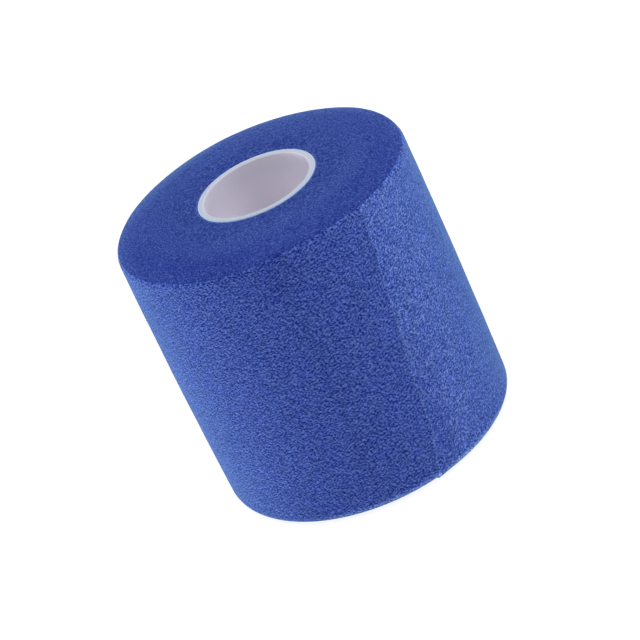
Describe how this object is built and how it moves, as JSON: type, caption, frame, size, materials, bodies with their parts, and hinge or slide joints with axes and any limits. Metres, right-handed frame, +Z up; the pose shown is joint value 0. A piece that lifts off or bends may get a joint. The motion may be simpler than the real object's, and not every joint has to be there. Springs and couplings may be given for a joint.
{
  "type": "elastic sports tape roll",
  "caption": "Roll of thin blue elastic foam sports tape wound on a white plastic core, standing on its flat end, with the tape's cut end lying flat down its side.",
  "frame": {"origin": "middle of the roll's lower end, on the surface it stands on", "axes": "+Z up along the roll's axis; -Y towards the side that carries the tape's cut end; +X to the right of it"},
  "size_m": [0.0723, 0.0722, 0.0719],
  "materials": {
    "blue_foam": "matt open-cell foam, grainy on the side and finer on the cut turns of the ends",
    "white_plastic": "smooth satin off-white moulded plastic"
  },
  "bodies": {
    "root": {"wound_tape": "blue_foam", "core": "white_plastic"}
  },
  "joints": []
}
